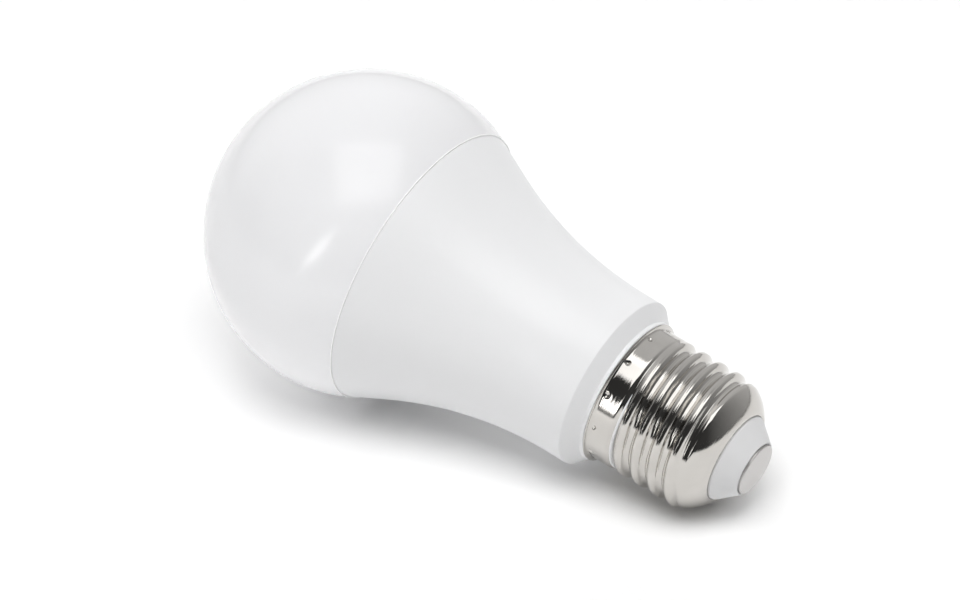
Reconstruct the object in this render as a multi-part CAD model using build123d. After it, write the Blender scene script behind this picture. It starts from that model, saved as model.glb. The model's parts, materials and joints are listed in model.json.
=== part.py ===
from build123d import *
from math import asin, cos, pi, radians, sin, sqrt, tan
import os

# Smart light bulb, A60 shape with an E27 screw cap. Millimetres and degrees.
# The origin is the middle of the centre contact's outer face and +Z runs up the axis to the globe.

# Whole lamp
SEAM_Z = 74.0                # where the globe meets the housing
SEAM_GAP = 0.2
GLOBE_RADIUS = 30.1
GLOBE_CENTRE_Z = 86.25
GLOBE_RIM_RADIUS = 27.3      # the globe draws in a little faster than a sphere down to its rim
GLOBE_WALL = 1.3
FIT_GAP = 0.05               # between parts that only touch
BURIED = 0.4                 # how far a detail reaches into the piece that it belongs to

# Housing: a straight neck, one large concave arc and a short straight flank up to the seam
HOUSING_WALL = 1.3
HOUSING_RADIUS = 16.6
FLARE_START_Z = 34.4
FLARE_RADIUS = 77.5
FLARE_ANGLE = 25.0
CHAMFER_TOP_Z = 31.2
LIP_TOP_Z = 28.7
LIP_RADIUS = 14.0
LIP_BOTTOM_Z = 27.9
LAND_RADIUS = 12.75           # sits inside the cap's plain collar
LAND_BOTTOM_Z = 22.6
SPIGOT_RADIUS = 11.5         # stands inside the rolled thread
SPIGOT_BORE = 10.3
SPIGOT_BOTTOM_Z = 11.0
CUP_FLOOR_Z = 29.6
CUP_START_Z = 33.0

# Screw cap, E27: seven turns to the inch
THREAD_PITCH = 25.4 / 7
THREAD_CREST_RADIUS = 13.22
THREAD_ROOT_RADIUS = 12.1
THREAD_BOTTOM_Z = 8.2
THREAD_TOP_Z = 23.8
THREAD_FADE = 1.8            # height over which the thread grows out of the plain metal
THREAD_PHASE = 0.0           # which way the crest faces at the thread's lower end
SECTIONS_PER_TURN = 12
CAP_SHEET = 0.3
COLLAR_RADIUS = 13.15
RIM_RADIUS = 13.95
RIM_START_Z = 27.2           # where the collar starts to flare
RIM_Z = 27.85
RIM_EDGE = 0.1               # height of the rim's cut edge
SHOULDER_RADIUS = 12.5
SHOULDER_MID = (10.9, 6.0)   # a point on the shoulder, as (radius, height)
CAP_MOUTH_RADIUS = 8.45
CAP_BOTTOM_Z = 4.5
CRIMP_COUNT = 12
CRIMP_START = 17.0
CRIMP_Z = 26.75
CRIMP_RADIUS = 0.8
CRIMP_DEPTH = 0.2

# Insulator and centre contact
INSULATOR_FACE_Z = 0.45
INSULATOR_TIP_RADIUS = 5.35
CONTACT_RADIUS = 4.95
CONTACT_THICKNESS = 0.8
CONTACT_PIN_RADIUS = 0.85
CONTACT_PIN_TOP_Z = 5.6

# Globe skirt, heat sink and light-emitting board
SKIRT_WALL = 1.0
SKIRT_BOTTOM_Z = 70.4
SKIRT_GAP = 0.12
SNAP_COUNT = 3
SINK_WALL = 0.8
SINK_BOTTOM_Z = 33.2
SINK_PLATE_BOTTOM_Z = 66.6
SINK_PLATE_TOP_Z = 67.6
PAD_THICKNESS = 0.2
BOARD_THICKNESS = 1.0
LED_BOARD_RADIUS = 21.4
WHITE_LED_COUNT = 9          # of each white, warm and cool by turns round the ring
WHITE_LED_RING = 18.3
COLOUR_LED_COUNT = 6
COLOUR_LED_RING = 14.0
BOARD_SCREW_COUNT = 3
BOARD_SCREW_RING = 13.5
SCREW_RADIUS = 1.0

# Driver: an upright board whose tail stands in the housing's spigot
DRIVER_THICKNESS = 1.2
DRIVER_WIDTH = 24.0
DRIVER_SHOULDER_Z = 35.0
DRIVER_TOP_Z = 63.6
TAIL_WIDTH = 18.4
TAIL_BOTTOM_Z = 12.0
FRONT = -DRIVER_THICKNESS / 2
BACK = DRIVER_THICKNESS / 2
LEAD_RADIUS = 0.3
PIN_COUNT = 5
PIN_PITCH = 2.54
PIN_SIDE = 0.6
PIN_ROW_Y = FRONT - 1.25
SOCKET_SLOT = (13.4, 3.2)

# Radio board: stands edge-on to the driver board, with its aerial up inside the globe
RADIO_X = 8.0
RADIO_THICKNESS = 0.8
RADIO_WIDTH = 12.4
RADIO_BOTTOM_Z = 50.0
RADIO_TOP_Z = 76.5
RADIO_FACE_X = RADIO_X + RADIO_THICKNESS / 2

LED_BOARD_BOTTOM_Z = SINK_PLATE_TOP_Z + PAD_THICKNESS
LED_BOARD_TOP_Z = LED_BOARD_BOTTOM_Z + BOARD_THICKNESS
CAPS_ON_TOP = (Align.CENTER, Align.CENTER, Align.MIN)


# ---------- helpers ----------

def turned(*edges):
    """A solid of revolution about Z from the closed outline of these edges, drawn as (radius, height)."""
    return revolve(Plane.XZ * make_face(edges), Axis.Z)


def turned_polygon(*points):
    """A solid of revolution about Z from straight-sided (radius, height) corners."""
    return turned(Polyline(*points, close=True))


def disc(radius, bottom, top, centre=(0, 0)):
    """A round plate or pin along Z."""
    return Pos(centre[0], centre[1], bottom) * Cylinder(radius, top - bottom, align=CAPS_ON_TOP)


def block(low, high):
    """A box between two opposite corners."""
    size = [b - a for a, b in zip(low, high)]
    return Pos(*low) * Box(*size, align=(Align.MIN, Align.MIN, Align.MIN))


def ring_of(shape, count, radius, start=0.0):
    """Copies of a shape round the axis, each turned to face outward."""
    return [Rot(0, 0, start + 360 * i / count) * Pos(radius, 0, 0) * shape for i in range(count)]


def wire_along(points, radius, bends):
    """A round wire through these points, with every corner rounded."""
    path = FilletPolyline(*points, radius=bends)
    return sweep(Plane(origin=path @ 0, z_dir=path % 0) * Circle(radius), path=path)


def save(name, *solids):
    """Writes one node, a single solid or a group of separate like solids."""
    shape = solids[0] if len(solids) == 1 else Compound(children=list(solids))
    export_step(shape, f"parts/{name}.step")


# ---------- the flared wall, shared by the housing, the heat sink and the skirt ----------

def flare_radius(z, inset):
    """Radius at height z of the line that runs inset inside the housing's outer face."""
    arc = FLARE_RADIUS + inset
    arc_height = arc * sin(radians(FLARE_ANGLE))
    rise = min(max(z - FLARE_START_Z, 0.0), arc_height)
    straight = max(z - FLARE_START_Z - arc_height, 0.0)
    return HOUSING_RADIUS + FLARE_RADIUS - sqrt(arc**2 - rise**2) + straight * tan(radians(FLARE_ANGLE))


def flare_line(bottom, top, inset):
    """Edges of that line between two heights: neck, arc and flank, as far as they reach."""
    arc_top = FLARE_START_Z + (FLARE_RADIUS + inset) * sin(radians(FLARE_ANGLE))

    def at(z):
        return (flare_radius(z, inset), z)

    arc_low, arc_high = max(bottom, FLARE_START_Z), min(top, arc_top)
    edges = []
    if bottom < arc_low:
        edges.append(Line(at(bottom), at(arc_low)))
    if arc_low < arc_high:
        edges.append(ThreePointArc(at(arc_low), at((arc_low + arc_high) / 2), at(arc_high)))
    if top > max(arc_high, bottom):
        edges.append(Line(at(max(arc_high, bottom)), at(top)))
    return edges


def flared_wall(bottom, top, outer_inset, inner_inset):
    """A turned wall between two insets of the flared line."""
    low = Line((flare_radius(bottom, inner_inset), bottom), (flare_radius(bottom, outer_inset), bottom))
    high = Line((flare_radius(top, inner_inset), top), (flare_radius(top, outer_inset), top))
    outer = flare_line(bottom, top, outer_inset)
    inner = flare_line(bottom, top, inner_inset)
    return turned(low, high, *outer, *inner)


# ---------- enclosure ----------

def snap_lugs(grow):
    """Lugs on the skirt that click into pockets in the housing; grow turns them into the pockets."""
    middle_z = (SKIRT_BOTTOM_Z + SEAM_Z) / 2
    reach = flare_radius(middle_z, HOUSING_WALL) + 0.25 + grow
    inner = flare_radius(middle_z, HOUSING_WALL + SKIRT_GAP) - BURIED
    lug = block((inner, -2 - grow, middle_z - 0.5 - grow), (reach, 2 + grow, middle_z + 0.5 + grow))
    return ring_of(lug, SNAP_COUNT, 0, start=90)


def globe_line(bottom, inset):
    """Edges of the globe's outline, inset inwards: an arc below the equator and a ball's arc above it."""
    drop = GLOBE_CENTRE_Z - (SEAM_Z + SEAM_GAP)
    narrowing = GLOBE_RADIUS - GLOBE_RIM_RADIUS
    lower_radius = (narrowing**2 + drop**2) / (2 * narrowing)
    lower_centre = GLOBE_RADIUS - lower_radius

    def low_point(z):
        return (lower_centre + sqrt((lower_radius - inset) ** 2 - (z - GLOBE_CENTRE_Z) ** 2), z)

    radius = GLOBE_RADIUS - inset
    equator = (radius, GLOBE_CENTRE_Z)
    slant = radius / sqrt(2)
    lower = ThreePointArc(low_point(bottom), low_point((bottom + GLOBE_CENTRE_Z) / 2), equator)
    upper = ThreePointArc(equator, (slant, GLOBE_CENTRE_Z + slant), (0, GLOBE_CENTRE_Z + radius))
    return [lower, upper]


def diffuser_globe():
    """Frosted globe: closed at the top, with a shelf at its rim and a skirt that stands inside the housing."""
    rim_z = SEAM_Z + SEAM_GAP
    shelf_z = rim_z + 1.2
    skirt_out = HOUSING_WALL + SKIRT_GAP
    skirt_in = skirt_out + SKIRT_WALL
    outer = globe_line(rim_z, 0)
    inner = globe_line(shelf_z, GLOBE_WALL)
    top = Line(inner[-1] @ 1, outer[-1] @ 1)
    shelf = Polyline(inner[0] @ 0, (flare_radius(rim_z, skirt_in), shelf_z),
                     (flare_radius(rim_z, skirt_in), rim_z),
                     (flare_radius(SKIRT_BOTTOM_Z, skirt_in), SKIRT_BOTTOM_Z),
                     (flare_radius(SKIRT_BOTTOM_Z, skirt_out), SKIRT_BOTTOM_Z),
                     (flare_radius(rim_z, skirt_out), rim_z), outer[0] @ 0)
    globe = turned(*outer, top, *inner, shelf)
    for lug in snap_lugs(0.0):
        globe += lug
    return globe


def seal_bead():
    """Silicone bead in the seam between globe and housing."""
    inner = flare_radius(SEAM_Z, HOUSING_WALL + SKIRT_GAP) + FIT_GAP
    outer = flare_radius(SEAM_Z, 0) - FIT_GAP
    return turned_polygon((inner, SEAM_Z), (outer, SEAM_Z), (outer, SEAM_Z + SEAM_GAP),
                          (inner + 0.1, SEAM_Z + SEAM_GAP))


def board_rails():
    """Two pairs of ribs inside the spigot that hold the driver board's tail."""
    slot = DRIVER_THICKNESS / 2 + 0.1
    rib = block((TAIL_WIDTH / 2 - 0.9, slot, SPIGOT_BOTTOM_Z), (SPIGOT_BORE, slot + 0.9, CUP_FLOOR_Z - 1))
    rib &= disc(SPIGOT_BORE + BURIED, SPIGOT_BOTTOM_Z, CUP_FLOOR_Z)
    return [rib, mirror(rib, Plane.XZ), mirror(rib, Plane.YZ), mirror(mirror(rib, Plane.XZ), Plane.YZ)]


def housing():
    """White plastic shell: flared body, chamfered foot, lip, and the spigot that the cap is crimped on."""
    body = flared_wall(CUP_START_Z, SEAM_Z, 0, HOUSING_WALL)
    cup_radius = HOUSING_RADIUS - HOUSING_WALL
    foot = turned_polygon(
        (HOUSING_RADIUS, CUP_START_Z), (HOUSING_RADIUS, CHAMFER_TOP_Z + 0.15),
        (HOUSING_RADIUS - 0.15, CHAMFER_TOP_Z), (LIP_RADIUS, LIP_TOP_Z), (LIP_RADIUS, LIP_BOTTOM_Z),
        (LAND_RADIUS, LIP_BOTTOM_Z), (LAND_RADIUS, LAND_BOTTOM_Z), (SPIGOT_RADIUS, LAND_BOTTOM_Z - 0.6),
        (SPIGOT_RADIUS, SPIGOT_BOTTOM_Z), (SPIGOT_BORE, SPIGOT_BOTTOM_Z), (SPIGOT_BORE, CUP_FLOOR_Z),
        (cup_radius - 2.0, CUP_FLOOR_Z + 0.9), (cup_radius, CUP_START_Z - 0.6), (cup_radius, CUP_START_Z))
    shell = body + foot
    for rib in board_rails():
        shell += rib
    shell -= block((-SPIGOT_RADIUS - 1, -0.7, SPIGOT_BOTTOM_Z - 1), (-SPIGOT_BORE - 0.2, 0.7, 19.0))
    for pocket in snap_lugs(0.12):
        shell -= pocket
    return shell


def heat_sink():
    """Drawn aluminium cup, pressed inside the housing, with the board's plate as its closed end."""
    outer = HOUSING_WALL + FIT_GAP
    wall = flared_wall(SINK_BOTTOM_Z, SINK_PLATE_TOP_Z, outer, outer + SINK_WALL)
    plate = disc(flare_radius(SINK_PLATE_BOTTOM_Z, outer + BURIED), SINK_PLATE_BOTTOM_Z, SINK_PLATE_TOP_Z)
    sink = wall + plate
    for hole in board_openings(SINK_PLATE_BOTTOM_Z, SINK_PLATE_TOP_Z, SCREW_RADIUS + 0.02):
        sink -= hole
    return sink


# ---------- light-emitting board ----------

def board_openings(bottom, top, screw_hole):
    """What is cut through the plate, the pad and the board: pin slot, radio slot and screw holes."""
    low, high = bottom - 1, top + 1
    pin_slot = Pos(0, PIN_ROW_Y, low) * Box(*SOCKET_SLOT, high - low, align=CAPS_ON_TOP)
    radio_slot = block((RADIO_X - 0.8, BACK - 0.4, low), (RADIO_X + 0.8, BACK + RADIO_WIDTH + 0.4, high))
    holes = ring_of(disc(screw_hole, low, high), BOARD_SCREW_COUNT, BOARD_SCREW_RING)
    return [pin_slot, radio_slot, *holes]


def pierced_disc(radius, bottom, top, screw_hole):
    """A round layer of the light-emitting stack with its openings."""
    layer = disc(radius, bottom, top)
    for hole in board_openings(bottom, top, screw_hole):
        layer -= hole
    return layer


def led_package(width, length, height, window):
    """Surface-mounted emitter: a white body with a round well of phosphor or clear resin."""
    body = Box(width, length, height, align=CAPS_ON_TOP)
    body = chamfer(body.edges().group_by(Axis.Z)[-1], 0.12)
    well = Pos(0, 0, height - 0.12) * Cylinder(window, 0.2, align=CAPS_ON_TOP)
    return Pos(0, 0, LED_BOARD_TOP_Z) * (body - well)


def board_screw():
    """Pan-head screw with a cross recess, through the board into the heat sink's plate."""
    head = disc(1.9, LED_BOARD_TOP_Z, LED_BOARD_TOP_Z + 1.2)
    head = fillet(head.edges().group_by(Axis.Z)[-1], 0.4)
    screw = head + disc(SCREW_RADIUS, SINK_PLATE_BOTTOM_Z - 2, LED_BOARD_TOP_Z)
    for turn in (0, 90):
        screw -= Pos(0, 0, LED_BOARD_TOP_Z + 0.6) * Rot(0, 0, turn) * Box(2.2, 0.4, 1, align=CAPS_ON_TOP)
    return screw


def pin_places():
    """The (x, y) of each pin between the driver and the light-emitting board."""
    return [((i - (PIN_COUNT - 1) / 2) * PIN_PITCH, PIN_ROW_Y) for i in range(PIN_COUNT)]


def pin_block(bottom, top, depth, hole_side):
    """A moulded block with one square hole for each pin."""
    body = Pos(0, PIN_ROW_Y, bottom) * Box(PIN_COUNT * PIN_PITCH, depth, top - bottom, align=CAPS_ON_TOP)
    for x, y in pin_places():
        body -= Pos(x, y, bottom - 1) * Box(hole_side, hole_side, top - bottom + 2, align=CAPS_ON_TOP)
    return body


def header_pins():
    """Square pins that stand in the strip, each with a foot on the driver board."""
    low, high = DRIVER_TOP_Z - 3.3, LED_BOARD_TOP_Z + 2.2
    half = PIN_SIDE / 2
    pins = []
    for x, y in pin_places():
        upright = block((x - half, y - half, low), (x + half, y + half, high))
        pins.append(upright + block((x - half, y, low), (x + half, FRONT, low + PIN_SIDE)))
    return pins


# ---------- driver ----------

CAP_RADIUS = 4.0
CAP_LEAD_STEP = 1.75                 # half the spacing of a capacitor's two leads
LEAD_STEP = 2.5
INPUT_CAP = ((0, -5.2), 13.0, 12.0)  # centre (x, y), lower end, length
OUTPUT_CAP = ((7.6, -5.2), 35.5, 13.0)
INDUCTOR_X, INDUCTOR_Z = -6.8, 42.0
INDUCTOR_LOW_Y, INDUCTOR_HIGH_Y = -8.9, -1.3
INDUCTOR_RADIUS = 3.8
INDUCTOR_WINDING_DEPTH = 1.9
INDUCTOR_FLANGE = 1.2
VARISTOR_X, VARISTOR_Y, VARISTOR_Z = -5.2, -1.2, 31.6
VARISTOR_RADIUS = 3.6
VARISTOR_THICKNESS = 3.2
TRANSFORMER = (-1.5, -7.4, 54.5)     # middle of the core
PIN_ROW_STEP = 5.0                   # from the core's middle to each row of pins
FUSE_CENTRE = (6.2, -2.6)
FUSE_LOW_Z, FUSE_HIGH_Z = 26.5, 33.5


def driver_board():
    """T-shaped circuit board on edge, wide in the housing and narrow in the spigot."""
    upper = block((-DRIVER_WIDTH / 2, FRONT, DRIVER_SHOULDER_Z), (DRIVER_WIDTH / 2, BACK, DRIVER_TOP_Z))
    tail = block((-TAIL_WIDTH / 2, FRONT, TAIL_BOTTOM_Z), (TAIL_WIDTH / 2, BACK, DRIVER_SHOULDER_Z))
    return upper + tail


def electrolytic(centre, bottom, length):
    """Aluminium capacitor in its sleeve, with a rolled groove at its upper, lead end and a scored vent below."""
    can = disc(CAP_RADIUS, bottom, bottom + length, centre)
    can = fillet(can.edges().filter_by(GeomType.CIRCLE), 0.5)
    can -= Pos(*centre, bottom + length - 2.0) * Torus(CAP_RADIUS + 0.15, 0.5)
    for turn in (0, 90):
        can -= Pos(*centre, bottom) * Rot(0, 0, turn) * Box(CAP_RADIUS, 0.3, 0.4)
    return can


def stub_lead(x, y, z):
    """Straight component lead from a part's side to the board's front."""
    return Pos(x, y, z) * Rot(-90, 0, 0) * Cylinder(LEAD_RADIUS, FRONT - y, align=CAPS_ON_TOP)


def bent_lead(x, y, z_end, z_board):
    """Component lead that leaves along Z and turns in to the board."""
    return wire_along([(x, y, z_end), (x, y, z_board), (x, FRONT, z_board)], LEAD_RADIUS, 0.7)


INDUCTOR_PLACE = Pos(INDUCTOR_X, INDUCTOR_LOW_Y, INDUCTOR_Z) * Rot(-90, 0, 0)
INDUCTOR_LENGTH = INDUCTOR_HIGH_Y - INDUCTOR_LOW_Y


def inductor_core():
    """Flanged ferrite drum that stands out from the board."""
    waist = INDUCTOR_RADIUS - INDUCTOR_WINDING_DEPTH
    low, high = INDUCTOR_FLANGE, INDUCTOR_LENGTH - INDUCTOR_FLANGE
    return INDUCTOR_PLACE * turned_polygon(
        (0, 0), (INDUCTOR_RADIUS, 0), (INDUCTOR_RADIUS, low), (waist, low), (waist, high),
        (INDUCTOR_RADIUS, high), (INDUCTOR_RADIUS, INDUCTOR_LENGTH), (0, INDUCTOR_LENGTH))


def inductor_winding():
    """Copper turns that fill most of the drum's winding space, with the wires' ridges."""
    inner, outer = INDUCTOR_RADIUS - INDUCTOR_WINDING_DEPTH + FIT_GAP, INDUCTOR_RADIUS - 0.5
    low, high = INDUCTOR_FLANGE + FIT_GAP, INDUCTOR_LENGTH - INDUCTOR_FLANGE - FIT_GAP
    coil = turned_polygon((inner, low), (outer, low), (outer, high), (inner, high))
    turns = 7
    for i in range(1, turns):
        z = low + (high - low) * i / turns
        coil -= turned_polygon((outer - 0.15, z), (outer + 0.1, z - 0.2), (outer + 0.1, z + 0.2))
    return INDUCTOR_PLACE * coil


def transformer_core():
    """A pair of ferrite E halves, met in the middle, around the bobbin."""
    core = Box(13, 5.6, 12)
    for side in (-1, 1):
        core -= Pos(side * 4.1, 0, 0) * Box(3.0, 6, 8.2)
    return Pos(*TRANSFORMER) * core


def transformer_bobbin():
    """Plastic former on the core's middle leg, with a flange at each end."""
    former = Box(6.6, 7.4, 8.0)
    for side in (-1, 1):
        former += Pos(0, 0, side * 3.6) * (Box(8.0, 8.0, 0.8) + Box(10.8, 5.5, 0.8))
        former += Pos(0, 3.4, side * PIN_ROW_STEP) * Box(10.0, 1.2, 2.8)
    return Pos(*TRANSFORMER) * (former - Box(5.3, 5.7, 20))


def transformer_winding():
    """Insulated turns wrapped in yellow tape around the former."""
    coil = Box(8.4, 8.0, 6.3)
    coil = fillet(coil.edges().filter_by(Axis.Z), 0.8)
    return Pos(*TRANSFORMER) * (coil - Box(6.7, 7.5, 10))


def transformer_pins():
    """Two rows of pins from the former's base to the driver board."""
    x, y, z = TRANSFORMER
    rows = (z - PIN_ROW_STEP, z + PIN_ROW_STEP)
    return [stub_lead(x + step, y + 4.0, row) for row in rows for step in (-3.5, 0.0, 3.5)]


def fuse_resistor():
    """Axial wire-wound resistor with dog-bone ends that fuses if the driver fails short."""
    body = disc(1.45, FUSE_LOW_Z + 0.5, FUSE_HIGH_Z - 0.5, FUSE_CENTRE)
    for low, high in ((FUSE_LOW_Z, FUSE_LOW_Z + 1.8), (FUSE_HIGH_Z - 1.8, FUSE_HIGH_Z)):
        cap = disc(1.7, low, high, FUSE_CENTRE)
        body += fillet(cap.edges().filter_by(GeomType.CIRCLE), 0.4)
    return body


def varistor():
    """Disc-shaped surge absorber, flat against the driver board."""
    body = Cylinder(VARISTOR_RADIUS, VARISTOR_THICKNESS, align=CAPS_ON_TOP)
    body = Pos(VARISTOR_X, VARISTOR_Y, VARISTOR_Z) * Rot(90, 0, 0) * body
    return fillet(body.edges().filter_by(GeomType.CIRCLE), 0.9)


def component_leads():
    """Tinned wires of the wired parts: two each for capacitors, inductor, varistor and fuse."""
    leads = [bent_lead(*FUSE_CENTRE, FUSE_HIGH_Z, FUSE_HIGH_Z + 1.4),
             bent_lead(*FUSE_CENTRE, FUSE_LOW_Z, FUSE_LOW_Z - 1.4)]
    for centre, low, length in (INPUT_CAP, OUTPUT_CAP):
        for side in (-1, 1):
            end = low + length
            leads.append(bent_lead(centre[0] + side * CAP_LEAD_STEP, centre[1], end, end + 2))
    for side in (-1, 1):
        leads.append(stub_lead(INDUCTOR_X + side * LEAD_STEP, INDUCTOR_HIGH_Y, INDUCTOR_Z))
        leads.append(stub_lead(VARISTOR_X + side * LEAD_STEP, VARISTOR_Y, VARISTOR_Z))
    return leads


def chip(x, z, width, length, height, leads, pitch):
    """Moulded package on the board's back with rows of gull-wing leads along both long sides."""
    body = Pos(x, BACK + 0.1 + height / 2, z) * Box(width, height, length)
    body = chamfer(body.edges().group_by(Axis.Y)[-1], 0.2)
    for side in (-1, 1):
        for i in range(leads):
            lead_z = z + (i - (leads - 1) / 2) * pitch
            knee = x + side * width / 2
            upright = Pos(knee + side * 0.2, BACK + 0.5, lead_z) * Box(0.5, 0.2, 0.4)
            riser = Pos(knee + side * 0.4, BACK + 0.3, lead_z) * Box(0.2, 0.6, 0.4)
            foot = Pos(knee + side * 0.7, BACK + 0.1, lead_z) * Box(0.8, 0.2, 0.4)
            body += upright + riser + foot
    return body


def passives():
    """Surface-mounted resistors and capacitors in two columns on the board's back."""
    places = [(x, z) for x in (-8.5, 3.0) for z in (38.0, 41.0, 44.0, 47.0)]
    return [Pos(x, BACK + 0.3, z) * Box(2.0, 0.6, 1.25) for x, z in places]


# ---------- radio ----------

def radio_board():
    """Wireless module's board, edge-on to the driver board."""
    half = RADIO_THICKNESS / 2
    return block((RADIO_X - half, BACK, RADIO_BOTTOM_Z), (RADIO_X + half, BACK + RADIO_WIDTH, RADIO_TOP_Z))


def radio_shield():
    """Pressed tin can over the radio chip, open towards the board."""
    can = block((RADIO_FACE_X, 2.0, 52.0), (RADIO_FACE_X + 1.9, 11.2, 65.5))
    can = fillet(can.edges().filter_by(Axis.X), 0.5)
    return can - block((RADIO_FACE_X - 1, 2.2, 52.2), (RADIO_FACE_X + 1.7, 11.0, 65.3))


def radio_chip():
    """Flat leadless chip under the shield."""
    return block((RADIO_FACE_X, 4.0, 55.0), (RADIO_FACE_X + 0.9, 9.0, 60.0))


def radio_aerial():
    """Meandering copper track on the board's free end, inside the globe."""
    width, height = 0.6, 0.07
    lows, highs = 70.4, 75.8
    columns = [2.2 + 1.5 * i for i in range(7)]
    x = (RADIO_FACE_X, RADIO_FACE_X + height)
    track = block((x[0], columns[0], 68.9), (x[1], columns[0] + width, highs))
    for i, y in enumerate(columns[1:]):
        track += block((x[0], y, lows), (x[1], y + width, highs))
        bridge = highs if i % 2 == 0 else lows + width
        track += block((x[0], columns[i], bridge - width), (x[1], y + width, bridge))
    return track


# ---------- cap ----------

def ramp(share):
    """Smooth step from 0 to 1."""
    share = min(max(share, 0.0), 1.0)
    return share * share * (3 - 2 * share)


def thread_section(z, inset):
    """The cap at height z is a circle thrown off the axis, whose throw turns once for each pitch."""
    mean = (THREAD_CREST_RADIUS + THREAD_ROOT_RADIUS) / 2
    growth = ramp((z - THREAD_BOTTOM_Z) / THREAD_FADE)
    decay = ramp((THREAD_TOP_Z - z) / THREAD_FADE)
    throw = (THREAD_CREST_RADIUS - THREAD_ROOT_RADIUS) / 2 * growth * decay
    radius = mean + (SHOULDER_RADIUS - mean) * (1 - growth) + (COLLAR_RADIUS - mean) * (1 - decay)
    turn = 2 * pi * (z - THREAD_BOTTOM_Z) / THREAD_PITCH + radians(THREAD_PHASE)
    return Pos(throw * cos(turn), throw * sin(turn), z) * Circle(radius - inset)


def thread_stack(inset):
    """Solid inside the rolled thread, or inside its sheet where inset is the sheet's thickness."""
    height = THREAD_TOP_Z - THREAD_BOTTOM_Z
    count = round(height / THREAD_PITCH * SECTIONS_PER_TURN)
    return loft([thread_section(THREAD_BOTTOM_Z + height * i / count, inset) for i in range(count + 1)])


def collar():
    """Plain band above the thread, flared out into the rim under the housing's lip."""
    t = CAP_SHEET
    reach = RIM_RADIUS - COLLAR_RADIUS
    rise = RIM_Z - RIM_EDGE - RIM_START_Z
    bend = (reach**2 + rise**2) / (2 * reach)
    inner_reach = bend - sqrt((bend + t) ** 2 - (RIM_Z - RIM_START_Z) ** 2)
    outer = TangentArc((COLLAR_RADIUS, RIM_START_Z), (RIM_RADIUS, RIM_Z - RIM_EDGE), tangent=(0, 1))
    inner = TangentArc((COLLAR_RADIUS - t, RIM_START_Z), (COLLAR_RADIUS + inner_reach, RIM_Z), tangent=(0, 1))
    rest = Polyline((COLLAR_RADIUS - t, RIM_START_Z), (COLLAR_RADIUS - t, THREAD_TOP_Z),
                    (COLLAR_RADIUS, THREAD_TOP_Z), (COLLAR_RADIUS, RIM_START_Z))
    edge = Polyline(outer @ 1, (RIM_RADIUS, RIM_Z), inner @ 1)
    band = turned(outer, inner, rest, edge)
    dent = Pos(0, 0, CRIMP_Z) * Sphere(CRIMP_RADIUS)
    for dimple in ring_of(dent, CRIMP_COUNT, COLLAR_RADIUS + CRIMP_RADIUS - CRIMP_DEPTH, CRIMP_START):
        band -= dimple
    return band


def shoulder():
    """Rounded end of the cap, from the last thread in to the mouth that holds the insulator."""
    t = CAP_SHEET
    mid_radius, mid_z = SHOULDER_MID
    outer = ThreePointArc((CAP_MOUTH_RADIUS + 0.5, CAP_BOTTOM_Z), (mid_radius, mid_z),
                          (SHOULDER_RADIUS, THREAD_BOTTOM_Z))
    inner = ThreePointArc((CAP_MOUTH_RADIUS + 0.5, CAP_BOTTOM_Z + t), (mid_radius - 0.2, mid_z + 0.2),
                          (SHOULDER_RADIUS - t, THREAD_BOTTOM_Z))
    mouth = Polyline((CAP_MOUTH_RADIUS + 0.5, CAP_BOTTOM_Z), (CAP_MOUTH_RADIUS, CAP_BOTTOM_Z),
                     (CAP_MOUTH_RADIUS, CAP_BOTTOM_Z + t), (CAP_MOUTH_RADIUS + 0.5, CAP_BOTTOM_Z + t))
    joint = Line((SHOULDER_RADIUS - t, THREAD_BOTTOM_Z), (SHOULDER_RADIUS, THREAD_BOTTOM_Z))
    return turned(outer, joint, inner, mouth)


def screw_shell():
    """Nickel-plated screw cap rolled from one sheet."""
    tube = thread_stack(0.0) - thread_stack(CAP_SHEET)
    return tube + collar() + shoulder()


def insulator():
    """White plastic cone that closes the cap's end and keeps the contact apart from the shell."""
    inside = CAP_BOTTOM_Z + CAP_SHEET
    neck = CAP_MOUTH_RADIUS - FIT_GAP
    body = turned_polygon(
        (0, CONTACT_THICKNESS), (CONTACT_RADIUS + 0.15, CONTACT_THICKNESS),
        (CONTACT_RADIUS + 0.15, INSULATOR_FACE_Z), (INSULATOR_TIP_RADIUS, INSULATOR_FACE_Z),
        (neck, CAP_BOTTOM_Z - 0.3), (neck, inside + FIT_GAP), (neck + 0.7, inside + FIT_GAP + 0.3),
        (neck + 0.7, inside + 0.9), (neck - 0.4, inside + 2.2), (neck - 1.6, inside + 2.2),
        (neck - 2.4, inside - 1.0), (2.2, inside - 1.0), (2.2, inside), (0, inside))
    return body - disc(CONTACT_PIN_RADIUS + FIT_GAP, -1, inside + 1)


def centre_contact():
    """Nickel-plated contact: a disc with a rounded edge and a pin driven up through the insulator."""
    face = disc(CONTACT_RADIUS, 0, CONTACT_THICKNESS)
    face = fillet(face.edges().group_by(Axis.Z)[0], 0.3)
    pin = disc(CONTACT_PIN_RADIUS, CONTACT_THICKNESS, CONTACT_PIN_TOP_Z)
    return face + pin


def live_wire():
    """From the driver board's tail down to the contact's pin."""
    y = FRONT - 0.65
    return wire_along([(3, y, 17), (3, y, 9.5), (0, 0, 8.2), (0, 0, CONTACT_PIN_TOP_Z)], 0.6, 0.9)


def neutral_wire():
    """From the board's tail round the spigot's end, its bare end trapped between spigot and shell."""
    x = -SPIGOT_BORE - 0.7
    return wire_along([(-7.2, BACK + 0.4, 16), (-7.2, BACK + 0.4, 10.2), (x, 0, 10.2), (x, 0, 18)], 0.38, 0.6)


# ---------- build ----------

os.makedirs("parts", exist_ok=True)

save("diffuser_globe", diffuser_globe())
save("seal_bead", seal_bead())
save("housing", housing())
save("heat_sink", heat_sink())
save("screw_shell", screw_shell())
save("insulator", insulator())
save("centre_contact", centre_contact())

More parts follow.
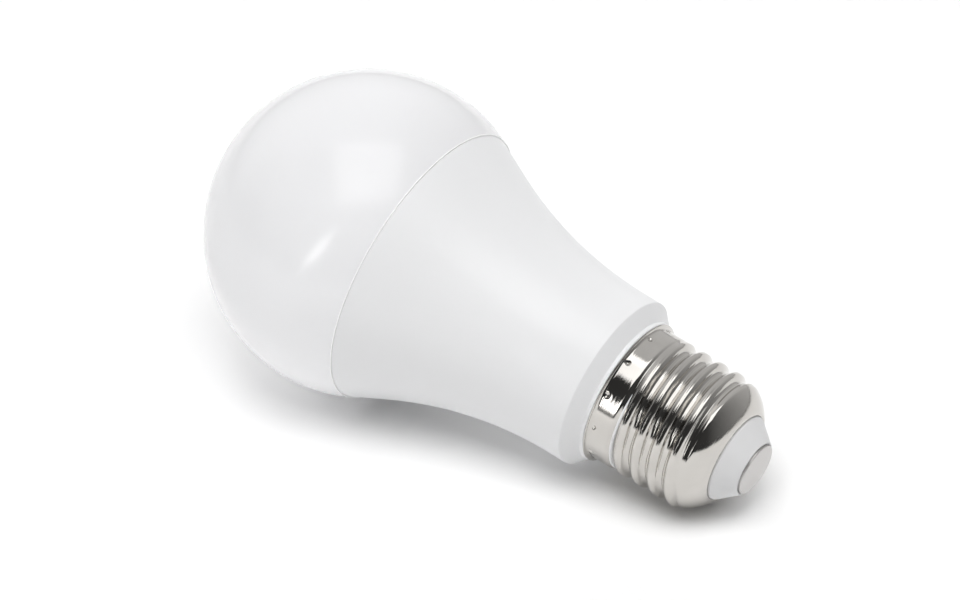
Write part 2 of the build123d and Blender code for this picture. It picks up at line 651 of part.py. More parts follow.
save("thermal_pad", pierced_disc(LED_BOARD_RADIUS - 0.6, SINK_PLATE_TOP_Z, LED_BOARD_BOTTOM_Z, 1.5))
save("led_board", pierced_disc(LED_BOARD_RADIUS, LED_BOARD_BOTTOM_Z, LED_BOARD_TOP_Z, 1.15))
white_led = led_package(3.5, 2.8, 0.7, 1.1)
step_angle = 180 / WHITE_LED_COUNT
save("warm_white_leds", *ring_of(white_led, WHITE_LED_COUNT, WHITE_LED_RING))
save("cool_white_leds", *ring_of(white_led, WHITE_LED_COUNT, WHITE_LED_RING, start=step_angle))
colour_led = led_package(3.5, 3.5, 0.8, 1.4)
save("colour_leds", *ring_of(colour_led, COLOUR_LED_COUNT, COLOUR_LED_RING, start=30))
save("board_screws", *ring_of(board_screw(), BOARD_SCREW_COUNT, BOARD_SCREW_RING))
save("board_socket", pin_block(LED_BOARD_TOP_Z, LED_BOARD_TOP_Z + 3.0, 4.6, PIN_SIDE + 0.15))

save("driver_board", driver_board())
save("pin_strip", pin_block(DRIVER_TOP_Z - 2.5, DRIVER_TOP_Z, 2.5, PIN_SIDE + 0.05))
save("pin_header", *header_pins())
save("input_capacitor", electrolytic(*INPUT_CAP))
save("output_capacitor", electrolytic(*OUTPUT_CAP))
save("inductor_core", inductor_core())
save("inductor_winding", inductor_winding())
save("transformer_core", transformer_core())
save("transformer_bobbin", transformer_bobbin())
save("transformer_winding", transformer_winding())
save("transformer_pins", *transformer_pins())
save("fuse_resistor", fuse_resistor())
save("varistor", varistor())
save("component_leads", *component_leads())
save("bridge_rectifier", chip(-1.0, 26.0, 3.8, 4.7, 1.4, 2, 2.5))
save("driver_chip", chip(-3.0, 44.0, 3.9, 4.9, 1.4, 4, 1.27))
save("surface_passives", *passives())

save("radio_board", radio_board())
save("radio_shield", radio_shield())
save("radio_chip", radio_chip())
save("radio_aerial", radio_aerial())
save("live_wire", live_wire())
save("neutral_wire", neutral_wire())
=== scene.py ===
import json
from math import asin, atan2, cos, exp, hypot, pi, radians, sin, sqrt, tan

import bmesh
import bpy
from mathutils import Matrix, Vector


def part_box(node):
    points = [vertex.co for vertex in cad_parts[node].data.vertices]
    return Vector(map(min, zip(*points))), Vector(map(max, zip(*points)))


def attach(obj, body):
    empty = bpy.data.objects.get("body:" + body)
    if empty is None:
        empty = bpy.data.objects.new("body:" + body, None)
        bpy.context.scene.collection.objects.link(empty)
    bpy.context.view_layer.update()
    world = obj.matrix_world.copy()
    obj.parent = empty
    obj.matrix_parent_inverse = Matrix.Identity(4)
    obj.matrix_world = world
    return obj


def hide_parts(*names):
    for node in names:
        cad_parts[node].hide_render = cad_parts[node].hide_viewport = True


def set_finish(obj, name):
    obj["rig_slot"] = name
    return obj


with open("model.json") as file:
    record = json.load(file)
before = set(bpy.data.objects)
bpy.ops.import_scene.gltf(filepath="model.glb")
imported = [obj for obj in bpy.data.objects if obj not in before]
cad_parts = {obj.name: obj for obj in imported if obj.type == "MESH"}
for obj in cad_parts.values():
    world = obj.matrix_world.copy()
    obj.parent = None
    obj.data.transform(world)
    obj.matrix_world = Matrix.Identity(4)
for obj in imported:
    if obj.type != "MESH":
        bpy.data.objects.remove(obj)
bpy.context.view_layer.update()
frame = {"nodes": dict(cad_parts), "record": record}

# Lengths of the bulb are in millimetres, as in the CAD model, and MM turns them into metres.
# Lengths of the studio are in metres.
MM = 0.001

# Levels and radii read from the CAD pieces, in millimetres
def level(node, top):
    """Height of a CAD node's top or bottom."""
    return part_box(node)[1 if top else 0].z / MM


def reach(node):
    """Largest radius of a CAD node that is round about Z."""
    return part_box(node)[1].x / MM


SEAM_Z = level("housing", True)
GLOBE_TOP_Z = level("diffuser_globe", True)
GLOBE_RADIUS = reach("diffuser_globe")
GLOBE_CENTRE_Z = GLOBE_TOP_Z - GLOBE_RADIUS
SKIRT_BOTTOM_Z = level("diffuser_globe", False)
SPIGOT_BOTTOM_Z = level("housing", False)
RIM_Z = level("screw_shell", True)
RIM_RADIUS = reach("screw_shell")
CAP_BOTTOM_Z = level("screw_shell", False)

# Forms that a box can't give, the same as in the CAD model
SEAM_GAP = 0.2
GLOBE_RIM_RADIUS = 27.3
GLOBE_WALL = 1.3
HOUSING_WALL = 1.3
SHELF_RISE = 1.2
SKIRT_GAP = 0.12
SKIRT_WALL = 1.0
HOUSING_RADIUS = 16.6
FLARE_START_Z = 34.4
FLARE_RADIUS = 77.5
FLARE_ANGLE = radians(25.0)
CHAMFER_TOP_Z = 31.2
LIP_TOP_Z = 28.7
LIP_RADIUS = 14.0
LIP_BOTTOM_Z = 27.9
LAND_RADIUS = 12.75
LAND_BOTTOM_Z = 22.6
SPIGOT_RADIUS = 11.5
SPIGOT_BORE = 10.3
CUP_FLOOR_Z = 29.6
CUP_START_Z = 33.0
THREAD_PITCH = 25.4 / 7
THREAD_CREST_RADIUS = 13.22
THREAD_ROOT_RADIUS = 12.1
THREAD_BOTTOM_Z = 8.2
THREAD_TOP_Z = 23.8
THREAD_FADE = 1.8
CAP_SHEET = 0.3
COLLAR_RADIUS = 13.15
RIM_START_Z = 27.2
RIM_EDGE = 0.1
SHOULDER_RADIUS = 12.5
SHOULDER_MID = (10.9, 6.0)
SHOULDER_SLANT = 0.67
CAP_MOUTH_RADIUS = 8.45
CRIMP_COUNT = 12
CRIMP_START = radians(17.0)
CRIMP_Z = 26.75
CONTACT_RADIUS = 4.95
CONTACT_THICKNESS = 0.8
INSULATOR_FACE_Z = 0.45
INSULATOR_TIP_RADIUS = 5.35
PIN_RADIUS = 0.85
FIT_GAP = 0.05

# Softened edges and fine relief that the CAD model doesn't have, and two forms made stronger than
# there so that they show: the bead stands proud of the seam, and the crimps are deeper
SEAM_EDGE = 0.04
BEAD_PROUD = 0.1
BEAD_EDGE = 0.06
CRIMP_DEPTH = 0.24
CRIMP_SPREAD = 0.4
CRIMP_LIP = 0.03
CRIMP_LIP_RADIUS = 0.7
CRIMP_LIP_SPREAD = 0.2
CRIMP_REACH = 1.3
ROLL_MARK = 0.03
COARSE_RIDGES = 6
FINE_RIDGES = 13

# Camera, turned round a point close to the bulb's axis. Its values were solved from the bulb's outline
# in the photograph.
CAMERA_AZIMUTH = radians(-2.53)
CAMERA_ELEVATION = radians(-20.12)
CAMERA_ROLL = radians(-58.65)
CAMERA_DISTANCE = 1.0833
CAMERA_AIM = Vector((0.0003, 0.0, 0.0612))
CAMERA_LENS = 225.0

# Brightness round the room as (azimuth, grey), near the floor and higher up, and where one becomes the
# other. Gloss shows it; the camera itself sees the backdrop's white. These greys and the lights' powers
# were fitted to the tones in the photograph, then rounded or adjusted.
LOW_BAND = ((-180, 0.4), (-150, 0.8), (-60, 0.8), (30, 0.75), (60, 0.25), (125, 0.03), (160, 0.3),
            (180, 0.4))
MIDDLE_BAND = ((-180, 0.04), (-80, 0.04), (-60, 0.75), (-35, 0.75), (-15, 0.6), (20, 0.68), (60, 0.48),
               (110, 0.22), (150, 0.05), (180, 0.04))
LOW_BAND_TOP = radians(14)
MIDDLE_BAND_BOTTOM = radians(26)
BACKDROP_WHITE = 1.2

# How far from a fading panel's middle its light ends and begins to fade, as shares of its size
PANEL_EDGE = 0.5
PANEL_CORE = 0.15

# Floor: the bulb lies on it on its side, touching it with the globe and the thread's crests
FLOOR_AZIMUTH = radians(-45.0)
FLOOR_TILT = radians(13.0)
FLOOR_DROP = 10.75 * MM
FLOOR_HALF = 4.0
FLOOR_UP = Vector((cos(FLOOR_AZIMUTH) * cos(FLOOR_TILT), sin(FLOOR_AZIMUTH) * cos(FLOOR_TILT),
                   sin(FLOOR_TILT)))

# Facets round a plain turned piece, and rows up the thread outside and inside the sheet
AROUND = 240
THREAD_ROWS = 210
INNER_THREAD_ROWS = 24


# ---------- outlines ----------

def on_arc(centre, radius, start, end, steps):
    """Points along an arc in the (radius, height) plane, from one angle to another."""
    angles = [start + (end - start) * i / steps for i in range(steps + 1)]
    return [(centre[0] + radius * cos(a), centre[1] + radius * sin(a)) for a in angles]


def rounded(corners, steps=5):
    """An open outline through (radius, height, rounding) corners, each corner with its own small arc."""
    points = []
    for i, (r, z, rounding) in enumerate(corners):
        here = Vector((r, z))
        if rounding == 0 or i in (0, len(corners) - 1):
            points.append((r, z))
            continue
        to_last = (Vector(corners[i - 1][:2]) - here).normalized()
        to_next = (Vector(corners[i + 1][:2]) - here).normalized()
        half = to_last.angle(to_next) / 2
        back = rounding / tan(half)
        centre = here + (to_last + to_next).normalized() * rounding / sin(half)
        first, last = here + to_last * back, here + to_next * back
        a0 = atan2(first.y - centre.y, first.x - centre.x)
        a1 = atan2(last.y - centre.y, last.x - centre.x)
        turn = (a1 - a0 + pi) % (2 * pi) - pi
        points.append(tuple(first + to_last * rounding * 0.3))
        points += on_arc(centre, rounding, a0, a0 + turn, steps)
        points.append(tuple(last + to_next * rounding * 0.3))
    return points


def flare_radius(z, inset):
    """Radius of the housing's flared wall at height z, inset inside its outer face."""
    arc = FLARE_RADIUS + inset
    arc_height = arc * sin(FLARE_ANGLE)
    rise = min(max(z - FLARE_START_Z, 0.0), arc_height)
    straight = max(z - FLARE_START_Z - arc_height, 0.0)
    return HOUSING_RADIUS + FLARE_RADIUS - sqrt(arc**2 - rise**2) + straight * tan(FLARE_ANGLE)


def flare_line(bottom, top, inset, steps):
    """Points up the flared wall between two heights."""
    heights = [bottom + (top - bottom) * i / steps for i in range(steps + 1)]
    return [(flare_radius(z, inset), z) for z in heights]


def globe_line(bottom, inset, steps):
    """Points up the globe from a height to its pole: a tighter arc below the equator, a ball above it."""
    drop = GLOBE_CENTRE_Z - (SEAM_Z + SEAM_GAP)
    narrowing = GLOBE_RADIUS - GLOBE_RIM_RADIUS
    lower_radius = (narrowing**2 + drop**2) / (2 * narrowing)
    centre = (GLOBE_RADIUS - lower_radius, GLOBE_CENTRE_Z)
    start = asin((bottom - GLOBE_CENTRE_Z) / (lower_radius - inset))
    lower = on_arc(centre, lower_radius - inset, start, 0, steps // 3)
    upper = on_arc((0, GLOBE_CENTRE_Z), GLOBE_RADIUS - inset, 0, pi / 2, steps)
    return lower + upper[1:]


# ---------- turned meshes ----------

def new_piece(name, mesh_builder, slot, replaced):
    """A mesh object that rides on the bulb, takes a record slot and stands for the CAD nodes named."""
    mesh = bpy.data.meshes.new(name)
    bm = bmesh.new()
    mesh_builder(bm)
    bmesh.ops.recalc_face_normals(bm, faces=bm.faces)
    for face in bm.faces:
        face.smooth = True
    bm.to_mesh(mesh)
    bm.free()
    piece = bpy.data.objects.new(name, mesh)
    bpy.context.scene.collection.objects.link(piece)
    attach(piece, "root")
    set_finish(piece, slot)
    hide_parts(*replaced)
    return piece


def even_angles(count=AROUND):
    """Evenly spaced angles round the axis."""
    return [2 * pi * i / count for i in range(count)]


def turn_into(bm, outline, angles, shape=None):
    """Sweeps a closed (radius, height) outline round the axis; shape(r, z, angle, i) may move a point."""
    rings = []
    for i, (r, z) in enumerate(outline):
        if r < 1e-6:
            rings.append([bm.verts.new((0, 0, z * MM))])
            continue
        ring = []
        for angle in angles:
            radius, height = shape(r, z, angle, i) if shape else (r, z)
            ring.append(bm.verts.new((radius * cos(angle) * MM, radius * sin(angle) * MM, height * MM)))
        rings.append(ring)
    count = len(angles)
    for i, ring in enumerate(rings):
        other = rings[(i + 1) % len(rings)]
        if len(ring) == 1 and len(other) == 1:
            continue
        for j in range(count):
            k = (j + 1) % count
            if len(ring) == 1:
                bm.faces.new((ring[0], other[k], other[j]))
            elif len(other) == 1:
                bm.faces.new((ring[j], ring[k], other[0]))
            else:
                bm.faces.new((ring[j], ring[k], other[k], other[j]))


def turned_piece(name, outline, slot, replaced, angles=None, shape=None):
    """A turned piece as one closed mesh of quads."""
    angles = angles or even_angles()
    return new_piece(name, lambda bm: turn_into(bm, outline, angles, shape), slot, replaced)


# ---------- materials ----------

def node_tools(owner):
    """Short ways to add and join nodes in the tree of a material, a world or a light."""
    tree = owner.node_tree

    def add(kind, **values):
        node = tree.nodes.new(kind)
        for key, value in values.items():
            if hasattr(node, key):
                setattr(node, key, value)
            else:
                node.inputs[key.replace("_", " ")].default_value = value
        return node

    def join(a, out, b, into):
        tree.links.new(a.outputs[out], b.inputs[into])

    return add, join


def blank_material(name):
    """A material with only its Principled shader and output."""
    material = bpy.data.materials.new(name)
    material.use_nodes = True
    shader = next(n for n in material.node_tree.nodes if n.type == "BSDF_PRINCIPLED")
    return material, shader


def ramp_stops(ramp, stops):
    """Sets a colour ramp's stops to (position, grey or colour)."""
    elements = ramp.color_ramp.elements
    while len(elements) < len(stops):
        elements.new(0.5)
    for element, (position, value) in zip(elements, stops):
        element.position = position
        colour = (value,) * 3 if isinstance(value, float) else value
        element.color = (*colour, 1.0)


def moulded(name, colour, roughness, grain=900.0, bump=0.02, mottle=0.03, cloud=60.0):
    """Moulded plastic: faint cloudy colour, uneven gloss, and a fine spark-eroded grain."""
    material, shader = blank_material(name)
    add, join = node_tools(material)
    place = add("ShaderNodeTexCoord")
    clouds = add("ShaderNodeTexNoise", Scale=cloud, Detail=4.0, Roughness=0.6)
    tint = add("ShaderNodeValToRGB")
    low = tuple(c * (1 - mottle) for c in colour)
    high = tuple(min(c * (1 + mottle), 1.0) for c in colour)
    ramp_stops(tint, [(0.3, low), (0.7, high)])
    gloss = add("ShaderNodeMapRange")
    gloss.inputs["From Min"].default_value = 0.3
    gloss.inputs["From Max"].default_value = 0.7
    gloss.inputs["To Min"].default_value = roughness * 0.9
    gloss.inputs["To Max"].default_value = min(roughness * 1.12, 1.0)
    fine = add("ShaderNodeTexNoise", Scale=grain, Detail=3.0, Roughness=0.55)
    relief = add("ShaderNodeBump", Strength=bump, Distance=0.0002)
    join(place, "Object", clouds, "Vector")
    join(place, "Object", fine, "Vector")
    join(clouds, "Fac", tint, "Fac")
    join(tint, "Color", shader, "Base Color")
    join(clouds, "Fac", gloss, "Value")
    join(gloss, "Result", shader, "Roughness")
    join(fine, "Fac", relief, "Height")
    join(relief, "Normal", shader, "Normal")
    return material


def plated(name, colour, roughness, scratch=0.05, streak=(40.0, 40.0, 900.0)):
    """Plated or bare metal: rolling marks round the piece, smudges that dull it, and tiny pits."""
    material, shader = blank_material(name)
    add, join = node_tools(material)
    place = add("ShaderNodeTexCoord")
    stretch = add("ShaderNodeMapping")
    stretch.inputs["Scale"].default_value = streak
    lines = add("ShaderNodeTexNoise", Scale=4.0, Detail=5.0, Roughness=0.65)
    smudge = add("ShaderNodeTexNoise", Scale=180.0, Detail=3.0, Roughness=0.5)
    gloss = add("ShaderNodeMapRange")
    gloss.inputs["From Min"].default_value = 0.35
    gloss.inputs["From Max"].default_value = 0.75
    gloss.inputs["To Min"].default_value = roughness
    gloss.inputs["To Max"].default_value = roughness * 1.5
    tint = add("ShaderNodeValToRGB")
    ramp_stops(tint, [(0.35, tuple(c * 0.93 for c in colour)), (0.65, colour)])
    relief = add("ShaderNodeBump", Strength=scratch, Distance=0.0001)
    join(place, "Object", stretch, "Vector")
    join(stretch, "Vector", lines, "Vector")
    join(place, "Object", smudge, "Vector")
    join(smudge, "Fac", gloss, "Value")
    join(gloss, "Result", shader, "Roughness")
    join(smudge, "Fac", tint, "Fac")
    join(tint, "Color", shader, "Base Color")
    join(lines, "Fac", relief, "Height")
    join(relief, "Normal", shader, "Normal")
    shader.inputs["Metallic"].default_value = 1.0
    return material


def make_materials():
    """One material for each slot of the record."""
    return {
        "frosted_diffuser": moulded("frosted_diffuser", (0.79, 0.79, 0.802), 0.16, grain=2600.0, bump=0.015,
                                    mottle=0.005, cloud=25.0),
        "white_housing": moulded("white_housing", (0.79, 0.792, 0.80), 0.36, grain=1800.0, bump=0.05,
                                 mottle=0.008, cloud=35.0),
        "silicone": moulded("silicone", (0.96, 0.96, 0.96), 0.25, grain=500.0, bump=0.05),
        "nickel_plate": plated("nickel_plate", (0.60, 0.58, 0.55), 0.05, scratch=0.12),
        "insulator_plastic": moulded("insulator_plastic", (0.70, 0.70, 0.705), 0.5, grain=1500.0, bump=0.08),
        "contact_metal": plated("contact_metal", (0.60, 0.585, 0.575), 0.33, scratch=0.15,
                                streak=(300.0, 40.0, 40.0)),
        "drawn_aluminium": plated("drawn_aluminium", (0.75, 0.76, 0.77), 0.3, scratch=0.2,
                                  streak=(700.0, 700.0, 30.0)),
        "thermal_pad_grey": moulded("thermal_pad_grey", (0.42, 0.45, 0.5), 0.7, bump=0.3),
        "white_mask_board": moulded("white_mask_board", (0.86, 0.86, 0.83), 0.35),
        "warm_emitter": moulded("warm_emitter", (0.9, 0.62, 0.2), 0.3),
        "cool_emitter": moulded("cool_emitter", (0.88, 0.84, 0.3), 0.3),
        "colour_emitter": moulded("colour_emitter", (0.86, 0.86, 0.86), 0.2),
        "zinc_steel": plated("zinc_steel", (0.66, 0.67, 0.69), 0.3),
        "connector_plastic": moulded("connector_plastic", (0.86, 0.84, 0.76), 0.45),
        "green_board": moulded("green_board", (0.03, 0.16, 0.06), 0.3, mottle=0.25, cloud=400.0),
        "black_plastic": moulded("black_plastic", (0.02, 0.02, 0.02), 0.5, mottle=0.2),
        "tinned_pin": plated("tinned_pin", (0.75, 0.75, 0.74), 0.22),
        "capacitor_sleeve": moulded("capacitor_sleeve", (0.015, 0.02, 0.05), 0.25, mottle=0.15),
        "ferrite": moulded("ferrite", (0.05, 0.05, 0.055), 0.75, grain=700.0, bump=0.4, mottle=0.3),
        "enamelled_copper": plated("enamelled_copper", (0.72, 0.30, 0.10), 0.25, scratch=0.3),
        "yellow_tape": moulded("yellow_tape", (0.85, 0.58, 0.04), 0.28),
        "resistor_coating": moulded("resistor_coating", (0.05, 0.22, 0.16), 0.35),
        "varistor_coating": moulded("varistor_coating", (0.02, 0.06, 0.35), 0.3, bump=0.2),
        "chip_resin": moulded("chip_resin", (0.025, 0.025, 0.028), 0.55, bump=0.2),
        "passive_ceramic": moulded("passive_ceramic", (0.30, 0.20, 0.12), 0.5, mottle=0.2),
        "radio_mask_board": moulded("radio_mask_board", (0.01, 0.02, 0.08), 0.28),
        "tin_plate": plated("tin_plate", (0.7, 0.71, 0.72), 0.25),
        "gold_track": plated("gold_track", (0.83, 0.58, 0.2), 0.25),
        "live_insulation": moulded("live_insulation", (0.45, 0.02, 0.015), 0.5),
        "neutral_insulation": moulded("neutral_insulation", (0.02, 0.02, 0.02), 0.5),
    }


def dress(piece, material):
    """Gives a piece one material all over."""
    piece.data.materials.clear()
    piece.data.materials.append(material)


# ---------- visible pieces ----------

def globe_piece():
    """Frosted globe with a softened rim, a shelf and the skirt inside the housing."""
    rim_z = SEAM_Z + SEAM_GAP
    shelf_z = rim_z + SHELF_RISE
    skirt_out = HOUSING_WALL + SKIRT_GAP
    skirt_in = skirt_out + SKIRT_WALL
    outer = globe_line(rim_z + 0.35, 0, 66)
    inner = globe_line(shelf_z, GLOBE_WALL, 48)
    rim_in = flare_radius(rim_z, skirt_out)
    bore = flare_radius(rim_z, skirt_in)
    rim = rounded([(rim_in, rim_z, 0), (GLOBE_RIM_RADIUS, rim_z, SEAM_EDGE), (*outer[0], 0)])
    skirt = [(*inner[0], 0), (bore, shelf_z, 0.3), (bore, rim_z, 0.3),
             (flare_radius(SKIRT_BOTTOM_Z, skirt_in), SKIRT_BOTTOM_Z, 0.2),
             (flare_radius(SKIRT_BOTTOM_Z, skirt_out), SKIRT_BOTTOM_Z, 0.2), (rim_in, rim_z, 0)]
    outline = rim[1:-1] + outer + list(reversed(inner)) + rounded(skirt)[1:]
    return turned_piece("globe", outline, "frosted_diffuser", ["diffuser_globe"])


def housing_piece():
    """Flared housing with its chamfered foot, lip and spigot, every visible edge softened."""
    top = SEAM_Z
    outer = flare_line(CHAMFER_TOP_Z + 0.6, top - 0.4, 0, 60)
    inner = flare_line(CUP_START_Z, top - 0.3, HOUSING_WALL, 40)
    cup = HOUSING_RADIUS - HOUSING_WALL
    rim = rounded([(*outer[-1], 0), (flare_radius(top, 0), top, SEAM_EDGE),
                   (flare_radius(top, HOUSING_WALL), top, 0.2), (*inner[-1], 0)])
    foot = rounded([
        (*inner[0], 0), (cup, CUP_START_Z - 0.6, 0.5), (cup - 2.0, CUP_FLOOR_Z + 0.9, 0.5),
        (SPIGOT_BORE, CUP_FLOOR_Z, 0.3), (SPIGOT_BORE, SPIGOT_BOTTOM_Z, 0.25),
        (SPIGOT_RADIUS, SPIGOT_BOTTOM_Z, 0.25), (SPIGOT_RADIUS, LAND_BOTTOM_Z - 0.6, 0.2),
        (LAND_RADIUS, LAND_BOTTOM_Z, 0.2), (LAND_RADIUS, LIP_BOTTOM_Z, 0.1), (LIP_RADIUS, LIP_BOTTOM_Z, 0.22),
        (LIP_RADIUS, LIP_TOP_Z, 0.18), (HOUSING_RADIUS, CHAMFER_TOP_Z, 0.35), (*outer[0], 0)])
    outline = outer + rim[1:-1] + list(reversed(inner)) + foot[1:-1]
    return turned_piece("housing_shell", outline, "white_housing", ["housing"])


def bead_piece():
    """Silicone bead that shows as a fine, slightly uneven line in the seam."""
    inner = flare_radius(SEAM_Z, HOUSING_WALL + SKIRT_GAP) + FIT_GAP
    outer = GLOBE_RIM_RADIUS + BEAD_PROUD
    outline = rounded([(inner, SEAM_Z, 0), (outer, SEAM_Z, BEAD_EDGE), (outer, SEAM_Z + SEAM_GAP, BEAD_EDGE),
                       (inner + 0.1, SEAM_Z + SEAM_GAP, 0)], steps=3)

    def uneven(r, z, angle, _):
        ripple = 0.015 * sin(7 * angle) * sin(3 * angle + 1) + 0.01 * sin(23 * angle)
        return (r - abs(ripple) if r > outer - 0.2 else r, z)

    return turned_piece("seam_bead", outline, "silicone", ["seal_bead"], shape=uneven)


def smooth_step(share):
    """Smooth step from 0 to 1."""
    share = min(max(share, 0.0), 1.0)
    return share * share * (3 - 2 * share)


def thread_height(share):
    """Height of the rolled profile above its mean at a share of the pitch: two arcs that meet halfway."""
    quarter = THREAD_PITCH / 4
    half_depth = (THREAD_CREST_RADIUS - THREAD_ROOT_RADIUS) / 2
    arc = (quarter**2 + half_depth**2) / (2 * half_depth)
    along = (share % 1.0) * THREAD_PITCH
    from_crest = min(along, THREAD_PITCH - along)
    if from_crest <= quarter:
        return half_depth - arc + sqrt(arc**2 - from_crest**2)
    from_root = THREAD_PITCH / 2 - from_crest
    return arc - half_depth - sqrt(arc**2 - from_root**2)


def rolling_marks(share, angle):
    """Fine ridges that the rolls leave along the thread, stronger and weaker round the cap."""
    coarse_wave = sin(2 * pi * COARSE_RIDGES * share + sin(3 * angle))
    fine_wave = sin(2 * pi * FINE_RIDGES * share + 2 * sin(2 * angle))
    coarse = ROLL_MARK * coarse_wave * (0.65 + 0.35 * sin(5 * angle + 1))
    fine = ROLL_MARK / 2 * fine_wave * (0.6 + 0.4 * sin(7 * angle))
    return coarse + fine


def thread_radius(z, angle, inset):
    """Radius of the right-handed thread at a height and an angle, fading into plain metal at both ends."""
    mean = (THREAD_CREST_RADIUS + THREAD_ROOT_RADIUS) / 2
    growth = smooth_step((z - THREAD_BOTTOM_Z) / THREAD_FADE)
    decay = smooth_step((THREAD_TOP_Z - z) / THREAD_FADE)
    radius = mean + (SHOULDER_RADIUS - mean) * (1 - growth) + (COLLAR_RADIUS - mean) * (1 - decay) - inset
    share = (z - THREAD_BOTTOM_Z) / THREAD_PITCH - angle / (2 * pi)
    marks = rolling_marks(share, angle) if inset == 0 else 0.0
    return radius + (thread_height(share) + marks) * growth * decay


def crimp_angles():
    """Angles round the cap, close together at each crimp and wider between them."""
    period = 2 * pi / CRIMP_COUNT
    offsets = [radians(0.45) * k for k in range(-8, 9)]
    wide = (period - offsets[-1] + offsets[0]) / 9
    offsets += [offsets[-1] + wide * k for k in range(1, 9)]
    return sorted((CRIMP_START + period * i + o) % (2 * pi) for i in range(CRIMP_COUNT) for o in offsets)


def crimp_depth(z, angle):
    """How far the nearest crimp punches the metal in at this place, less the lip it raises round itself."""
    period = 2 * pi / CRIMP_COUNT
    off = ((angle - CRIMP_START + period / 2) % period - period / 2) * COLLAR_RADIUS
    away = hypot(off, z - CRIMP_Z)
    lip = CRIMP_LIP * exp(-(((away - CRIMP_LIP_RADIUS) / CRIMP_LIP_SPREAD) ** 2))
    return CRIMP_DEPTH * exp(-((away / CRIMP_SPREAD) ** 2)) - lip


def screw_piece():
    """Rolled nickel cap: rim, collar with crimps, right-hand thread and rounded shoulder, one sheet thick."""
    flare = RIM_RADIUS - COLLAR_RADIUS
    rise = RIM_Z - RIM_EDGE - RIM_START_Z
    bend_radius = (flare**2 + rise**2) / (2 * flare)
    plain_rows = [THREAD_TOP_Z + 0.3 * i for i in range(1, 7)]
    collar_rows = plain_rows + [plain_rows[-1] + 0.12 * i for i in range(1, 20)]

    def bend(inset, steps=10):
        top = RIM_Z if inset else RIM_Z - RIM_EDGE
        turn = asin((top - RIM_START_Z) / (bend_radius + inset))
        return on_arc((COLLAR_RADIUS + bend_radius, RIM_START_Z), bend_radius + inset, pi, pi - turn, steps)

    def dome(inset, steps=14):
        lip = (CAP_MOUTH_RADIUS + 0.5, CAP_BOTTOM_Z + inset)
        mid = (SHOULDER_MID[0] - inset * SHOULDER_SLANT, SHOULDER_MID[1] + inset * SHOULDER_SLANT)
        return through(lip, mid, (SHOULDER_RADIUS - inset, THREAD_BOTTOM_Z), steps)

    def rows(inset, thread_rows):
        step = (THREAD_TOP_Z - THREAD_BOTTOM_Z) / thread_rows
        thread = [THREAD_BOTTOM_Z + step * i for i in range(1, thread_rows + 1)]
        kept = [z for z in collar_rows if z < RIM_START_Z - 0.05]
        return [(r, z, inset) for r, z in dome(inset) + [(None, z) for z in thread + kept] + bend(inset)]

    outside = rows(0.0, THREAD_ROWS)
    inside = rows(CAP_SHEET, INNER_THREAD_ROWS)
    edge = [(RIM_RADIUS, RIM_Z - 0.04, 0.0), (RIM_RADIUS - 0.05, RIM_Z, 0.0)]
    mouth = [(CAP_MOUTH_RADIUS, CAP_BOTTOM_Z + CAP_SHEET, CAP_SHEET),
             (CAP_MOUTH_RADIUS, CAP_BOTTOM_Z + 0.1, 0.0), (CAP_MOUTH_RADIUS + 0.1, CAP_BOTTOM_Z, 0.0)]
    table = outside + edge + list(reversed(inside)) + mouth

    def shape(r, z, angle, i):
        plain_radius, _, inset = table[i]
        if plain_radius is None:
            r = thread_radius(z, angle, inset)
        if abs(z - CRIMP_Z) < CRIMP_REACH and r > COLLAR_RADIUS - 1:
            r -= crimp_depth(z, angle) * (0.8 if inset else 1.0)
        return r, z

    outline = [(COLLAR_RADIUS if r is None else r, z) for r, z, _ in table]
    return turned_piece("cap_shell", outline, "nickel_plate", ["screw_shell"], angles=crimp_angles(),
                        shape=shape)


def through(a, b, c, steps):
    """Points along the arc through three (radius, height) points."""
    ax, ay, bx, by, cx, cy = *a, *b, *c
    d = 2 * (ax * (by - cy) + bx * (cy - ay) + cx * (ay - by))
    sa, sb, sc = ax * ax + ay * ay, bx * bx + by * by, cx * cx + cy * cy
    centre = ((sa * (by - cy) + sb * (cy - ay) + sc * (ay - by)) / d,
              (sa * (cx - bx) + sb * (ax - cx) + sc * (bx - ax)) / d)
    start, end = atan2(ay - centre[1], ax - centre[0]), atan2(cy - centre[1], cx - centre[0])
    turn = (end - start + pi) % (2 * pi) - pi
    return on_arc(centre, hypot(ax - centre[0], ay - centre[1]), start, start + turn, steps)


def insulator_piece():
    """White cone with a softened tip edge and the seat that the contact sits in."""
    inside = CAP_BOTTOM_Z + CAP_SHEET
    neck = CAP_MOUTH_RADIUS - FIT_GAP
    hole = PIN_RADIUS + FIT_GAP
    seat = CONTACT_RADIUS + 0.15
    outline = rounded([
        (hole, CONTACT_THICKNESS, 0), (seat, CONTACT_THICKNESS, 0.05), (seat, INSULATOR_FACE_Z, 0.06),
        (INSULATOR_TIP_RADIUS, INSULATOR_FACE_Z, 0.12), (neck, CAP_BOTTOM_Z - 0.3, 0.5),
        (neck, inside + FIT_GAP, 0.02), (neck + 0.7, inside + FIT_GAP + 0.3, 0.1),
        (neck + 0.7, inside + 0.9, 0.1), (neck - 0.4, inside + 2.2, 0.2),
        (neck - 1.6, inside + 2.2, 0.3), (neck - 2.4, inside - 1.0, 0.3), (2.2, inside - 1.0, 0.2),
        (2.2, inside, 0.2), (hole, inside, 0)])
    return turned_piece("insulator_cone", outline, "insulator_plastic", ["insulator"])


